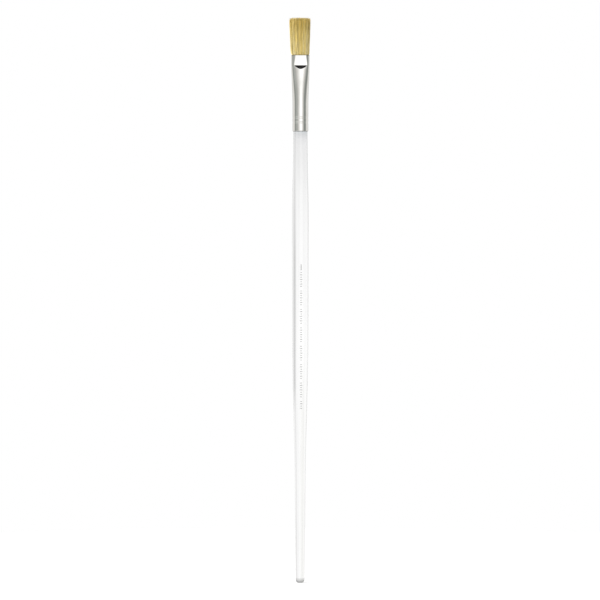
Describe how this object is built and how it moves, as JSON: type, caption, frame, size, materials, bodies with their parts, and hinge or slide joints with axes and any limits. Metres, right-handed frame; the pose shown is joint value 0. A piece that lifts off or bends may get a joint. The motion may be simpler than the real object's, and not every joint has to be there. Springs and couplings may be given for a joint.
{
  "type": "flat paint brush",
  "caption": "Long-handled flat artist's paint brush: stiff bristles in a seamless ferrule pressed flat at the mouth, on a slim clear tapered handle with a rounded tail.",
  "frame": {"origin": "lowest point of the handle's domed tail, on the brush's long axis", "axes": "+Z along the brush from the tail to the bristle tips, -Y out of the front broad face of the flat head, +X across the head's width"},
  "size_m": [0.0118, 0.0096, 0.32],
  "materials": {
    "clear_acrylic": "clear, lightly frosted by handling",
    "nickel_plate": "bright nickel plate on a seamless metal tube",
    "bristle": "natural bristle, satin",
    "epoxy": "set resin",
    "cement": "matte",
    "thread": "waxed thread"
  },
  "bodies": {
    "handle": {"handle": "clear_acrylic", "ferrule": "nickel_plate", "handle_cement": "cement", "epoxy_plug": "epoxy", "bristle_roots": "bristle", "binding_thread": "thread"},
    "bristles": {"bristle_lock_01": "bristle", "bristle_lock_02": "bristle", "bristle_lock_03": "bristle", "bristle_lock_04": "bristle", "bristle_lock_05": "bristle", "bristle_lock_06": "bristle", "bristle_lock_07": "bristle", "bristle_lock_08": "bristle", "bristle_lock_09": "bristle", "bristle_lock_10": "bristle", "bristle_lock_11": "bristle", "bristle_lock_12": "bristle", "bristle_lock_13": "bristle", "bristle_lock_14": "bristle", "bristle_lock_15": "bristle", "bristle_lock_16": "bristle", "bristle_lock_17": "bristle", "bristle_lock_18": "bristle", "bristle_lock_19": "bristle", "bristle_lock_20": "bristle", "bristle_lock_21": "bristle", "bristle_lock_22": "bristle", "bristle_lock_23": "bristle", "bristle_lock_24": "bristle", "bristle_lock_25": "bristle"}
  },
  "joints": [
    {"name": "bristle_flex", "type": "hinge", "parent": "handle", "child": "bristles", "pos_m": [0, 0, 0.2991], "axis": [1, 0, 0], "range_deg": [-45, 45], "stiffness_Nm_per_rad": 0.04}
  ]
}
